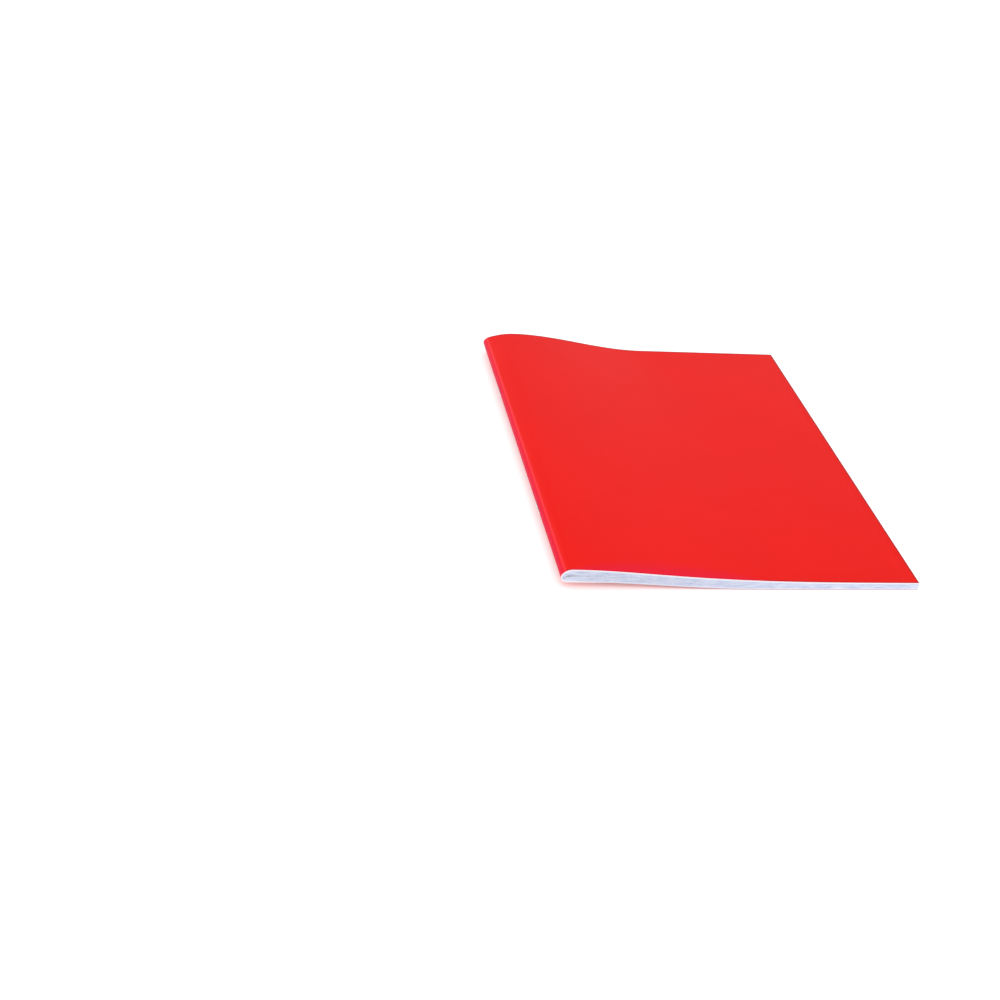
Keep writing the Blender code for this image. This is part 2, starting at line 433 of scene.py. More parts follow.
def cut_card_edge(scene):
    """Guillotined edge of the card: white pulp, over which the blade has drawn some of the red ink.

    The ink lies in streaks of 0.1 mm along the blade's way, drawn 0.6 mm long so that they show. The
    back cover's cut edge gets a painted shadow and reflection in the dark red.
    """
    made, tree, surface = new_material("cut card edge")
    colours = scene.notebook_colours
    place = add_node(tree, "ShaderNodeTexCoord").outputs["Object"]
    streaks = add_node(tree, "ShaderNodeTexNoise", {"Vector": place, "Scale": 1 / 0.0006, "Detail": 3.0})
    inked = add_node(
        tree,
        "ShaderNodeMapRange",
        {"Value": streaks, "From Min": 0.45, "From Max": 0.70, "To Max": 0.15},
    )
    height = add_node(tree, "ShaderNodeSeparateXYZ", {"Vector": place}).outputs["Z"]
    # Painted shadow and reflection: the back cover's cut edge is darkened towards the dark red, darker
    # towards the bottom
    painted_low_edge_shade = add_node(
        tree,
        "ShaderNodeMapRange",
        {"Value": height, "From Min": SPINE_LIFT, "From Max": SPINE_LIFT - CARD, "To Max": 0.85},
    )
    drawn = add_node(tree, "ShaderNodeMath", {0: inked, 1: painted_low_edge_shade}, operation="ADD")
    edge = add_node(
        tree,
        "ShaderNodeMix",
        {"Factor": drawn, "A": colours.card_cut, "B": colours.card_edge_ink_and_shade_red},
        data_type="RGBA",
    )
    relief = add_node(tree, "ShaderNodeBump", {"Height": streaks, "Strength": 0.2, "Distance": 0.00004})
    fill(surface, {"Base Color": edge, "Roughness": 0.9, "Normal": relief, "Specular IOR Level": 0.2})
    return made


def squared_paper(scene):
    """Wood-free offset paper, 80 g, with squares printed in pale blue that run off every edge.

    The eye gets a matt, slightly cloudy white under thin lines of uneven ink. No two sheets lie quite
    alike in the press, so each has its own print shift.
    """
    made, tree, surface = new_material("squared offset paper")
    colours = scene.notebook_colours
    sizes = scene.notebook_sizes
    place = add_node(tree, "ShaderNodeTexCoord").outputs["Object"]
    shift = add_node(tree, "ShaderNodeAttribute", attribute_name="print_shift").outputs["Fac"]
    moved = add_node(tree, "ShaderNodeCombineXYZ", {"X": shift, "Y": shift})
    printed_at = add_node(tree, "ShaderNodeVectorMath", {0: place, 1: moved})
    axes = add_node(tree, "ShaderNodeSeparateXYZ", {"Vector": printed_at})
    # A line runs through the middle of every square, and its width is a share of the square's
    line_share = sizes.ruling / sizes.square
    lines = []
    for axis in ("X", "Y"):
        squares = add_node(
            tree, "ShaderNodeMath", {0: axes.outputs[axis], 1: sizes.square}, operation="DIVIDE"
        )
        within = add_node(tree, "ShaderNodeMath", {0: squares}, operation="FRACT")
        offset = add_node(tree, "ShaderNodeMath", {0: within, 1: 0.5}, operation="SUBTRACT")
        apart = add_node(tree, "ShaderNodeMath", {0: offset}, operation="ABSOLUTE")
        line = add_node(
            tree, "ShaderNodeMapRange", {"Value": apart, "From Min": line_share, "From Max": 0.0}
        )
        lines.append(line)
    printed = add_node(tree, "ShaderNodeMath", {0: lines[0], 1: lines[1]}, operation="MAXIMUM")
    # Formation: the cloudy look of pulp against the light, some 3 mm across
    cloud = add_node(tree, "ShaderNodeTexNoise", {"Vector": place, "Scale": 1 / 0.003, "Detail": 4.0})
    uneven = add_node(tree, "ShaderNodeMapRange", {"Value": cloud, "To Min": 0.75})
    ink = add_node(tree, "ShaderNodeMath", {0: printed, 1: uneven}, operation="MULTIPLY")
    tone = add_node(tree, "ShaderNodeMapRange", {"Value": cloud, "To Max": 0.06})
    page = add_node(
        tree,
        "ShaderNodeMix",
        {"Factor": tone, "A": colours.paper_white, "B": colours.edge_shade},
        data_type="RGBA",
    )
    ruled = add_node(
        tree, "ShaderNodeMix", {"Factor": ink, "A": page, "B": colours.print_blue}, data_type="RGBA"
    )
    relief = add_node(tree, "ShaderNodeBump", {"Height": cloud, "Strength": 0.1, "Distance": 0.00003})
    fill(surface, {"Base Color": ruled, "Roughness": 0.9, "Normal": relief, "Specular IOR Level": 0.25})
    return made


def cut_page_edge(scene):
    """The guillotined edge of the pages: torn fibre ends, and the ends of the printed lines as specks.

    A speck is 0.2 mm wide on one sheet, drawn 6 mm wide over six sheets so that it shows. The specks and
    a painted shade lie only on the sheets between the few outer ones, which stay whiter.
    """
    made, tree, surface = new_material("cut page edge")
    colours = scene.notebook_colours
    place = add_node(tree, "ShaderNodeTexCoord").outputs["Object"]
    flat = add_node(tree, "ShaderNodeMapping", {"Vector": place, "Scale": (1.0, 1.0, 7.0)})
    specks = add_node(
        tree,
        "ShaderNodeTexNoise",
        {"Vector": flat, "Scale": 1 / 0.006, "Detail": 6.0, "Roughness": 0.75},
    )
    speckled = add_node(
        tree, "ShaderNodeMapRange", {"Value": specks, "From Min": 0.37, "From Max": 0.63, "To Min": 0.10}
    )
    # Nesting is 0 on the outermost sheet and 1 on the innermost; the inner sheets get the specks and
    # painted shade
    nesting = add_node(tree, "ShaderNodeAttribute", attribute_name="nesting").outputs["Fac"]
    inner = add_node(
        tree,
        "ShaderNodeMapRange",
        {"Value": nesting, "From Min": 0.05, "From Max": 0.35},
        interpolation_type="SMOOTHSTEP",
    )
    share = add_node(tree, "ShaderNodeMath", {0: speckled, 1: inner}, operation="MULTIPLY")
    edge = add_node(
        tree,
        "ShaderNodeMix",
        {"Factor": share, "A": colours.edge_white, "B": colours.edge_shade},
        data_type="RGBA",
    )
    relief = add_node(tree, "ShaderNodeBump", {"Height": specks, "Strength": 0.2, "Distance": 0.00005})
    fill(surface, {"Base Color": edge, "Roughness": 0.95, "Normal": relief, "Specular IOR Level": 0.2})
    return made


def steel_wire(scene):
    """Zinc-coated stitching wire, drawn: a bright grey metal with fine streaks along its length."""
    made, tree, surface = new_material("zinc-coated steel wire")
    colours = scene.notebook_colours
    place = add_node(tree, "ShaderNodeTexCoord").outputs["Object"]
    # Die marks run along the crown, which lies along Y, some 0.02 mm apart, drawn 0.12 mm apart
    drawn = add_node(tree, "ShaderNodeMapping", {"Vector": place, "Scale": (1.0, 0.04, 1.0)})
    marks = add_node(tree, "ShaderNodeTexNoise", {"Vector": drawn, "Scale": 1 / 0.00012, "Detail": 3.0})
    dull = add_node(tree, "ShaderNodeMapRange", {"Value": marks, "To Min": 0.20, "To Max": 0.42})
    relief = add_node(tree, "ShaderNodeBump", {"Height": marks, "Strength": 0.15, "Distance": 0.00001})
    fill(surface, {"Base Color": colours.steel, "Metallic": 1.0, "Roughness": dull, "Normal": relief})
    return made


MATERIALS = {}
MATERIAL_MAKERS = {
    "red": red_card,
    "inside": white_card,
    "cut": cut_card_edge,
    "page": squared_paper,
    "edge": cut_page_edge,
    "steel": steel_wire,
}


def material(context, key):
    """The material of this key, made when it is first asked for."""
    if key not in MATERIALS:
        MATERIALS[key] = MATERIAL_MAKERS[key](context.scene)
    return MATERIALS[key]


RULE_INPUTS = (
    ("Side", "NodeSocketFloat", 1.0),
    ("Stack share", "NodeSocketFloat", 1.0),
    ("Clearance", "NodeSocketFloat", CARD / 2),
    ("Fold radius", "NodeSocketFloat", SPINE_RADIUS),
    ("Spread", "NodeSocketFloat", INNER_SPREAD),
)
STOCK_INPUTS = (
    ("Thickness", "NodeSocketFloat", CARD),
    ("Outside", "NodeSocketMaterial", None),
    ("Inside", "NodeSocketMaterial", None),
    ("Edge", "NodeSocketMaterial", None),
)
GRID_INPUTS = (
    ("Steps across", "NodeSocketInt", STEPS_ACROSS),
    ("Steps along", "NodeSocketInt", STEPS_ALONG),
    ("Arc share", "NodeSocketFloat", 0.0),
    ("Near", "NodeSocketFloat", LEAF_START),
    ("Far", "NodeSocketFloat", LEAF_END),
    ("Growth", "NodeSocketFloat", STEP_GROWTH),
)


def new_tree(name, inputs, output=("Geometry", "NodeSocketGeometry")):
    """A node group with these inputs and one output, the sockets that it is given and its end node."""
    tree = bpy.data.node_groups.new(name, "GeometryNodeTree")
    for label, kind, default in inputs:
        socket = tree.interface.new_socket(label, in_out="INPUT", socket_type=kind)
        if default is not None:
            socket.default_value = default
    tree.interface.new_socket(output[0], in_out="OUTPUT", socket_type=output[1])
    return tree, tree.nodes.new("NodeGroupInput").outputs, tree.nodes.new("NodeGroupOutput")


def height_rule():
    """Height of the middle of a leaf or panel, by its distance to the fold line and place along it."""
    inputs = (("Distance", "NodeSocketFloat", 0.0), ("Headward", "NodeSocketFloat", 0.5), *RULE_INPUTS)
    tree, given, end = new_tree("Leaf height", inputs, ("Height", "NodeSocketFloat"))
    distance = given["Distance"]
    headward = given["Headward"]
    # The swelling: all of it up to the crest, then an S-shaped fall
    crest = add_node(
        tree,
        "ShaderNodeMapRange",
        {"Value": headward, "To Min": TAIL_CREST_DISTANCE, "To Max": HEAD_CREST_DISTANCE},
    )
    swell_end = add_node(
        tree,
        "ShaderNodeMapRange",
        {"Value": headward, "To Min": TAIL_SWELL_END, "To Max": HEAD_SWELL_END},
    )
    past = add_node(
        tree, "ShaderNodeMapRange", {"Value": distance, "From Min": crest, "From Max": swell_end}
    )
    length = add_node(tree, "ShaderNodeMath", {0: swell_end, 1: crest}, operation="SUBTRACT")
    power = add_node(tree, "ShaderNodeMath", {0: length, 1: SWELL_FALL}, operation="DIVIDE")
    to_go = add_node(tree, "ShaderNodeMath", {0: 1.0, 1: past}, operation="SUBTRACT")
    left = add_node(tree, "ShaderNodeMath", {0: to_go, 1: power}, operation="POWER")
    held = add_node(tree, "ShaderNodeMath", {0: power, 1: past, 2: 1.0}, operation="MULTIPLY_ADD")
    swelling = add_node(tree, "ShaderNodeMath", {0: left, 1: held}, operation="MULTIPLY")
    # The front cover's outer face rises from the round of the spine to the crest
    before = add_node(
        tree, "ShaderNodeMapRange", {"Value": distance, "From Max": crest, "To Min": 1.0, "To Max": 0.0}
    )
    steep = add_node(tree, "ShaderNodeMath", {0: before, 1: before}, operation="MULTIPLY")
    run_up = add_node(tree, "ShaderNodeMath", {0: crest, 1: SPINE_RADIUS})
    part = add_node(tree, "ShaderNodeMath", {0: crest, 1: run_up}, operation="DIVIDE")
    short = add_node(tree, "ShaderNodeMath", {0: part, 1: steep}, operation="MULTIPLY")
    reached = add_node(tree, "ShaderNodeMath", {0: 1.0, 1: short}, operation="SUBTRACT")
    rise = add_node(
        tree, "ShaderNodeMapRange", {"Value": headward, "To Min": TAIL_CREST, "To Max": HEAD_CREST}
    )
    swollen = add_node(
        tree, "ShaderNodeMath", {0: rise, 1: reached, 2: SPINE_TOP}, operation="MULTIPLY_ADD"
    )
    upper = add_node(
        tree, "ShaderNodeMapRange", {"Value": swelling, "To Min": FLAT_THICKNESS, "To Max": swollen}
    )
    lower = add_node(
        tree,
        "ShaderNodeMapRange",
        {"Value": distance, "From Max": BACK_RISE, "To Min": SPINE_LIFT, "To Max": 0.0},
        interpolation_type="SMOOTHSTEP",
    )
    # Beside the fold a leaf follows the cover in proportion to its fold radius
    outermost = add_node(tree, "ShaderNodeMapRange", {"Value": given["Side"], "From Min": -1.0})
    back_middle = add_node(tree, "ShaderNodeMath", {0: lower, 1: CARD / 2})
    front_middle = add_node(tree, "ShaderNodeMath", {0: upper, 1: CARD / 2}, operation="SUBTRACT")
    panel = add_node(
        tree, "ShaderNodeMapRange", {"Value": outermost, "To Min": back_middle, "To Max": front_middle}
    )
    nested = add_node(
        tree, "ShaderNodeMath", {0: given["Fold radius"], 1: SPINE_MIDDLE_RADIUS}, operation="DIVIDE"
    )
    bulge = add_node(tree, "ShaderNodeMath", {0: panel, 1: HINGE.z}, operation="SUBTRACT")
    folded = add_node(
        tree, "ShaderNodeMath", {0: bulge, 1: nested, 2: HINGE.z}, operation="MULTIPLY_ADD"
    )
    # Further out the leaves share the height between the two panels
    split = add_node(tree, "ShaderNodeMath", {0: swelling, 1: CENTRE_SPLIT}, operation="MULTIPLY")
    share = add_node(
        tree, "ShaderNodeMapRange", {"Value": split, "To Min": given["Stack share"], "To Max": outermost}
    )
    low = add_node(tree, "ShaderNodeMath", {0: lower, 1: given["Clearance"]})
    high = add_node(tree, "ShaderNodeMath", {0: upper, 1: given["Clearance"]}, operation="SUBTRACT")
    stacked = add_node(tree, "ShaderNodeMapRange", {"Value": share, "To Min": low, "To Max": high})
    height = add_node(
        tree,
        "ShaderNodeMapRange",
        {"Value": distance, "From Max": given["Spread"], "To Min": folded, "To Max": stacked},
        interpolation_type="SMOOTHSTEP",
    )
    fill(end, {0: height})
    return tree


def stock_skin():
    """Gives an open surface its thickness, half on each side, and its outside, inside and cut edge."""
    inputs = (("Geometry", "NodeSocketGeometry", None), *STOCK_INPUTS)
    tree, given, end = new_tree("Stock thickness", inputs)
    normal = add_node(tree, "GeometryNodeInputNormal")
    half = add_node(tree, "ShaderNodeMath", {0: given["Thickness"], 1: -0.5}, operation="MULTIPLY")
    inward = add_node(tree, "ShaderNodeVectorMath", {0: normal, "Scale": half}, operation="SCALE")
    base = add_node(tree, "GeometryNodeSetPosition", {"Geometry": given["Geometry"], "Offset": inward})
    raised = add_node(
        tree,
        "GeometryNodeExtrudeMesh",
        {"Mesh": base, "Offset Scale": given["Thickness"], "Individual": False},
    )
    outside = add_node(
        tree,
        "GeometryNodeSetMaterial",
        {"Geometry": raised.outputs["Mesh"], "Material": given["Outside"]},
    )
    rim = add_node(
        tree,
        "GeometryNodeSetMaterial",
        {"Geometry": outside, "Selection": raised.outputs["Side"], "Material": given["Edge"]},
    )
    turned = add_node(tree, "GeometryNodeFlipFaces", {"Mesh": base})
    inside = add_node(tree, "GeometryNodeSetMaterial", {"Geometry": turned, "Material": given["Inside"]})
    both = add_node(tree, "GeometryNodeJoinGeometry", {0: rim})
    fill(both, {0: inside})
    closed = add_node(
        tree, "GeometryNodeMergeByDistance", {"Geometry": both, "Distance": MERGE_DISTANCE}
    )
    fill(end, {0: closed})
    return tree


def folded_stock():
    """A leaf, a cover panel or half a fold: an arc for its Arc share, then the leaf's rise."""
    inputs = (
        ("Geometry", "NodeSocketGeometry", None),
        *GRID_INPUTS,
        *RULE_INPUTS,
        *STOCK_INPUTS,
    )
    tree, given, end = new_tree("Folded stock", inputs)
    tree.is_modifier = True
    counts = [
        add_node(tree, "ShaderNodeMath", {0: given[label], 1: 1.0})
        for label in ("Steps across", "Steps along")
    ]
    grid = add_node(
        tree,
        "GeometryNodeMeshGrid",
        {"Size X": 1.0, "Size Y": 1.0, "Vertices X": counts[0], "Vertices Y": counts[1]},
    )
    place = add_node(tree, "ShaderNodeSeparateXYZ", {0: add_node(tree, "GeometryNodeInputPosition")})
    across = add_node(tree, "ShaderNodeMath", {0: place.outputs["X"], 1: 0.5})
    headward = add_node(tree, "ShaderNodeMath", {0: place.outputs["Y"], 1: 0.5})
    turn = add_node(
        tree,
        "ShaderNodeMapRange",
        {
            "Value": across,
            "From Min": given["Arc share"],
            "From Max": 0.0,
            "To Min": math.pi / 2,
            "To Max": -HAIR_TURN,
        },
    )
    onward = add_node(tree, "ShaderNodeMapRange", {"Value": across, "From Min": given["Arc share"]})
    grown = add_node(tree, "ShaderNodeMath", {0: onward, 1: given["Growth"]}, operation="POWER")
    distance = add_node(
        tree, "ShaderNodeMapRange", {"Value": grown, "To Min": given["Near"], "To Max": given["Far"]}
    )
    level = add_node(
        tree,
        "GeometryNodeGroup",
        {
            "Distance": distance,
            "Headward": headward,
            **{label: given[label] for label, _, _ in RULE_INPUTS},
        },
        node_tree=height_rule(),
    )
    cosine = add_node(tree, "ShaderNodeMath", {0: turn}, operation="COSINE")
    inset = add_node(tree, "ShaderNodeMath", {0: cosine, 1: given["Fold radius"]}, operation="MULTIPLY")
    from_line = add_node(tree, "ShaderNodeMath", {0: distance, 1: inset}, operation="SUBTRACT")
    x = add_node(tree, "ShaderNodeMath", {0: from_line, 1: HINGE.x})
    y = add_node(tree, "ShaderNodeMath", {0: place.outputs["Y"], 1: PAGE_HEIGHT}, operation="MULTIPLY")
    sine = add_node(tree, "ShaderNodeMath", {0: turn}, operation="SINE")
    round_up = add_node(tree, "ShaderNodeMath", {0: sine, 1: given["Fold radius"]}, operation="MULTIPLY")
    # What the leaf rises over the round is gained towards the end of the arc
    gained = add_node(tree, "ShaderNodeMath", {0: 1.0, 1: cosine}, operation="SUBTRACT")
    late = add_node(tree, "ShaderNodeMath", {0: gained, 1: gained}, operation="MULTIPLY")
    over = add_node(tree, "ShaderNodeMath", {0: level, 1: HINGE.z}, operation="SUBTRACT")
    lean = add_node(
        tree,
        "ShaderNodeMath",
        {
            0: over,
            1: given["Side"],
            2: add_node(
                tree, "ShaderNodeMath", {0: given["Fold radius"], 1: -1.0}, operation="MULTIPLY"
            ),
        },
        operation="MULTIPLY_ADD",
    )
    up = add_node(tree, "ShaderNodeMath", {0: lean, 1: late, 2: round_up}, operation="MULTIPLY_ADD")
    z = add_node(tree, "ShaderNodeMath", {0: up, 1: given["Side"], 2: HINGE.z}, operation="MULTIPLY_ADD")
    point = add_node(tree, "ShaderNodeCombineXYZ", {"X": x, "Y": y, "Z": z})
    bent = add_node(tree, "GeometryNodeSetPosition", {"Geometry": grid, "Position": point})
    below = add_node(tree, "FunctionNodeCompare", {"A": given["Side"], "B": 0.0}, operation="LESS_THAN")
    outward = add_node(tree, "GeometryNodeFlipFaces", {"Mesh": bent, "Selection": below})
    thick = add_node(
        tree,
        "GeometryNodeGroup",
        {"Geometry": outward, **{label: given[label] for label, _, _ in STOCK_INPUTS}},
        node_tree=stock_skin(),
    )
    real = add_node(tree, "GeometryNodeRealizeInstances", {"Geometry": thick})
    smooth = add_node(tree, "GeometryNodeSetShadeSmooth", {"Geometry": real})
    fill(end, {0: smooth})
    return tree


def staple_holes():
    """Pierces a fold where the legs of the two staples pass through it."""
    inputs = (
        ("Geometry", "NodeSocketGeometry", None),
        ("Hole radius", "NodeSocketFloat", WIRE / 2 + WIRE_CLEARANCE),
        ("Leg spacing", "NodeSocketFloat", STAPLE_CROWN),
        ("Staple spacing", "NodeSocketFloat", PAGE_HEIGHT - 2 * STAPLE_INSET),
        ("Wall", "NodeSocketMaterial", None),
    )
    tree, given, end = new_tree("Staple holes", inputs)
    tree.is_modifier = True
    needle = add_node(
        tree,
        "GeometryNodeMeshCylinder",
        {"Vertices": HOLE_SIDES, "Radius": given["Hole radius"], "Depth": 2 * SPINE_RADIUS},
    )
    laid = add_node(
        tree, "GeometryNodeTransform", {"Geometry": needle, "Rotation": (0.0, math.pi / 2, 0.0)}
    )
    for label in ("Leg spacing", "Staple spacing"):
        back = add_node(tree, "ShaderNodeMath", {0: given[label], 1: -0.5}, operation="MULTIPLY")
        first = add_node(tree, "ShaderNodeCombineXYZ", {"Y": back})
        step = add_node(tree, "ShaderNodeCombineXYZ", {"Y": given[label]})
        pair = add_node(
            tree, "GeometryNodeMeshLine", {"Count": 2, "Start Location": first, "Offset": step}
        )
        laid = add_node(tree, "GeometryNodeInstanceOnPoints", {"Points": pair, "Instance": laid})
    placed = add_node(
        tree,
        "GeometryNodeTransform",
        {"Geometry": laid, "Translation": (HINGE.x - SPINE_RADIUS, 0.0, HINGE.z)},
    )
    real = add_node(tree, "GeometryNodeRealizeInstances", {"Geometry": placed})
    walls = add_node(tree, "GeometryNodeSetMaterial", {"Geometry": real, "Material": given["Wall"]})
    pierced = add_node(
        tree,
        "GeometryNodeMeshBoolean",
        {"Mesh 1": given["Geometry"], "Mesh 2": walls},
        operation="DIFFERENCE",
        solver="EXACT",
    )
    fill(end, {0: pierced})
    return tree


def bent_wire():
    """A round wire along a polyline, with every corner bent to one radius."""
    inputs = (
        ("Geometry", "NodeSocketGeometry", None),
        ("Wire diameter", "NodeSocketFloat", WIRE),
        ("Bend radius", "NodeSocketFloat", STAPLE_BEND),
        ("Wire", "NodeSocketMaterial", None),
    )
    tree, given, end = new_tree("Bent wire", inputs)
    tree.is_modifier = True
    bent = add_node(
        tree,
        "GeometryNodeFilletCurve",
        {"Curve": given["Geometry"], "Count": BEND_STEPS, "Radius": given["Bend radius"]},
        mode="POLY",
    )
    radius = add_node(tree, "ShaderNodeMath", {0: given["Wire diameter"], 1: 0.5}, operation="MULTIPLY")
    section = add_node(
        tree, "GeometryNodeCurvePrimitiveCircle", {"Resolution": WIRE_SIDES, "Radius": radius}
    )
    wire = add_node(
        tree, "GeometryNodeCurveToMesh", {"Curve": bent, "Profile Curve": section, "Fill Caps": True}
    )
    real = add_node(tree, "GeometryNodeRealizeInstances", {"Geometry": wire})
    shaded = add_node(tree, "GeometryNodeSetMaterial", {"Geometry": real, "Material": given["Wire"]})
    fill(end, {0: shaded})
    return tree


TREES = {}
TREE_MAKERS = {"stock": folded_stock, "holes": staple_holes, "wire": bent_wire}


def node_tree(key):
    """The tree of this key, made when it is first asked for."""
    if key not in TREES:
        TREES[key] = TREE_MAKERS[key]()
    return TREES[key]


def grow(context, name, start, steps):
    """A plain mesh object: start, put through the tree of each step in turn with its values."""
    source = bpy.data.objects.new(name + "_rule", start)
    context.scene.collection.objects.link(source)
    for key, values in steps:
        tree = node_tree(key)
        modifier = source.modifiers.new(tree.name, "NODES")
        modifier.node_group = tree
        sockets = {s.name: s.identifier for s in tree.interface.items_tree if s.in_out == "INPUT"}
        for label, value in values.items():
            modifier[sockets[label]] = value
    graph = context.evaluated_depsgraph_get()
    mesh = bpy.data.meshes.new_from_object(source.evaluated_get(graph), depsgraph=graph)
    bpy.data.objects.remove(source)
    mesh.name = name
    mesh.set_sharp_from_angle(angle=SHARP_ANGLE)
    piece = bpy.data.objects.new(name, mesh)
    context.scene.collection.objects.link(piece)
    return piece


def mark_points(piece, name, values):
    """Stores a number on each point of a piece, for its material to read."""
    marks = piece.data.attributes.new(name, "FLOAT", "POINT")
    marks.data.foreach_set("value", values)


def sheet_marks(sheet):
    """What a sheet's materials read: how far its print is out of place, and how deep it is nested, for
    painted shade.
    """
    return {
        "print_shift": PRINT_PLAY * (sheet * GOLDEN_SHARE % 1),
        "nesting": (sheet - 1) / (SHEETS - 1),
    }


def fold_radius(sheet):
    """Radius of the middle of a sheet's fold. Sheet 1 is the outermost."""
    return INNER_RADIUS + PAPER / 2 + (SHEETS - sheet) * FOLD_PITCH


def cover_values(context, side):
    """Inputs of the rule for the cover card."""
    card = context.scene.notebook_sizes.card
    return {
        "Side": float(side),
        "Stack share": float(side > 0),
        "Clearance": card / 2,
        "Fold radius": SPINE_MIDDLE_RADIUS,
        "Spread": INNER_SPREAD,
        "Thickness": card,
        "Outside": material(context, "red"),
        "Inside": material(context, "inside"),
        "Edge": material(context, "cut"),
    }


def sheet_values(context, sheet, side):
    """Inputs of the rule for one sheet."""
    paper = context.scene.notebook_sizes.paper
    order = 2 * SHEETS - sheet if side > 0 else sheet - 1
    return {
        "Side": float(side),
        "Stack share": order / (2 * SHEETS - 1),
        "Clearance": CARD + COVER_GAP + PAPER / 2,
        "Fold radius": fold_radius(sheet),
        "Spread": INNER_SPREAD,
        "Thickness": paper,
        "Outside": material(context, "page"),
        "Inside": material(context, "page"),
        "Edge": material(context, "edge"),
    }


def add_flat(context, name, values, node, body, marks=()):
    """A leaf or cover panel that stands for its CAD node."""
    piece = grow(context, name, bpy.data.meshes.new(name), [("stock", values)])
    for label, value in dict(marks).items():
        mark_points(piece, label, [value] * len(piece.data.vertices))
    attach(piece, body)
    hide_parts(node)


def lean_at(y):
    """How far the front of a fold rises over a half circle, as a share of its radius."""
    headward = y / PAGE_HEIGHT + 0.5
    crest = TAIL_CREST_DISTANCE + (HEAD_CREST_DISTANCE - TAIL_CREST_DISTANCE) * headward
    rise = TAIL_CREST + (HEAD_CREST - TAIL_CREST) * headward
    return rise / (crest + SPINE_RADIUS)


def round_normals(piece, side, radius, thickness):
    """Shades a half fold as a true arc, so that its two halves meet without a line."""
    mesh = piece.data
    normals = [Vector(corner.vector) for corner in mesh.corner_normals]
    for face in mesh.polygons:
        facing = face.normal.dot(face.center - Vector((HINGE.x, face.center.y, HINGE.z)))
        own_radius = radius + math.copysign(thickness / 2, facing)
        for loop in face.loop_indices:
            point = mesh.vertices[mesh.loops[loop].vertex_index].co
            cosine = min(max((HINGE.x - point.x) / own_radius, 0.0), 1.0)
            sine = math.sqrt(1 - cosine**2)
            lean = lean_at(point.y) if side > 0 else 0.0
            outward = Vector((-cosine - 2 * lean * (1 - cosine) * sine, 0.0, side * sine)).normalized()
            if abs(face.normal.dot(outward)) > SKIN_COSINE and point.x <= HINGE.x + HAIRLINE:
                normals[loop] = outward * math.copysign(1.0, facing)
    mesh.normals_split_custom_set(normals)


def blend_fold(piece, side, radius, back_body, front_body):
    """Bakes a half fold's placement into its mesh.

    It works out, but does not use, the line from start to end along which a point of the arc would turn
    to the crease as the leaves open. The line slants so that half of the turn is reached at the middle
    of the fold, and a quarter of it halfway there.
    """
    share = radius / (TURN_FORWARD**2 + TURN_UP**2)
    way = Vector((-TURN_FORWARD, 0.0, TURN_UP)) * share
    if side < 0:
        start = HINGE - Vector((0.0, 0.0, radius))
        end = start + way
    else:
        end = HINGE + Vector((0.0, 0.0, radius * (1 + lean_at(0.0))))
        start = end - Vector((-way.x, 0.0, way.z))
    if front_body == "front_cover":
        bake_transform(piece)
    else:
        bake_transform(piece)


def add_fold(context, name, values, node, bodies, marks=()):
    """The two halves of a fold, with their own values, which together stand for its CAD node."""
    sizes = context.scene.notebook_sizes
    arc = {
        "Steps across": ARC_STEPS + TAIL_STEPS,
        "Arc share": ARC_STEPS / (ARC_STEPS + TAIL_STEPS),
        "Near": 0.0,
        "Far": LEAF_START + HAIRLINE,
        "Growth": 1.0,
    }
    holes = {
        "Hole radius": sizes.wire / 2 + WIRE_CLEARANCE,
        "Leg spacing": STAPLE_CROWN,
        "Staple spacing": PAGE_HEIGHT - 2 * STAPLE_INSET,
        "Wall": values[1]["Edge"],
    }
    for half, side in (("lower", -1), ("upper", 1)):
        piece_name = f"{name}_{half}"
        piece = grow(
            context,
            piece_name,
            bpy.data.meshes.new(piece_name),
            [("stock", {**values[side], **arc}), ("holes", holes)],
        )
        radius = values[side]["Fold radius"]
        points = piece.data.vertices
        for label, value in dict(marks).items():
            mark_points(piece, label, [value] * len(points))
        # Roundness is read by the red card for its painted reflection and painted highlight
        mark_points(piece, "roundness", [(HINGE.x - point.co.x) / radius for point in points])
        round_normals(piece, side, radius, values[side]["Thickness"])
        blend_fold(piece, side, radius, *bodies)
        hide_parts(node)


class NOTEBOOK_OT_cover_panels(bpy.types.Operator):
    """Front and back panel of the card cover"""

    bl_idname = "notebook.cover_panels"
    bl_label = "Cover panels"

    def execute(self, context):
        for node, side in (("back_cover", -1), ("front_cover", 1)):
            add_flat(context, node + "_card", cover_values(context, side), node, node)
        return {"FINISHED"}


class NOTEBOOK_OT_cover_spine(bpy.types.Operator):
    """Round spine of the card cover, pierced by the staples"""

    bl_idname = "notebook.cover_spine"
    bl_label = "Cover spine"

    def execute(self, context):
        add_fold(
            context,
            "spine_card",
            {side: cover_values(context, side) for side in (-1, 1)},
            "cover_spine",
            ("back_cover", "front_cover"),
        )
        return {"FINISHED"}


class NOTEBOOK_OT_leaves(bpy.types.Operator):
    """Front and back leaf of every sheet"""

    bl_idname = "notebook.leaves"
    bl_label = "Leaves"

    def execute(self, context):
        for sheet in range(1, SHEETS + 1):
            for half, side in (("back", -1), ("front", 1)):
                body = f"sheet_{sheet:02d}_{half}_leaf"
                values = sheet_values(context, sheet, side)
                add_flat(
                    context,
                    f"leaf_{sheet:02d}_{half}",
                    values,
                    body,
                    body,
                    sheet_marks(sheet),
                )
        return {"FINISHED"}


class NOTEBOOK_OT_folds(bpy.types.Operator):
    """Fold of every sheet, pierced by the staples"""

    bl_idname = "notebook.folds"
    bl_label = "Folds"

    def execute(self, context):
        for sheet in range(1, SHEETS + 1):
            name = f"sheet_{sheet:02d}"
            add_fold(
                context,
                f"fold_{sheet:02d}",
                {side: sheet_values(context, sheet, side) for side in (-1, 1)},
                name + "_fold",
                (name + "_back_leaf", name + "_front_leaf"),
                sheet_marks(sheet),
            )
        return {"FINISHED"}


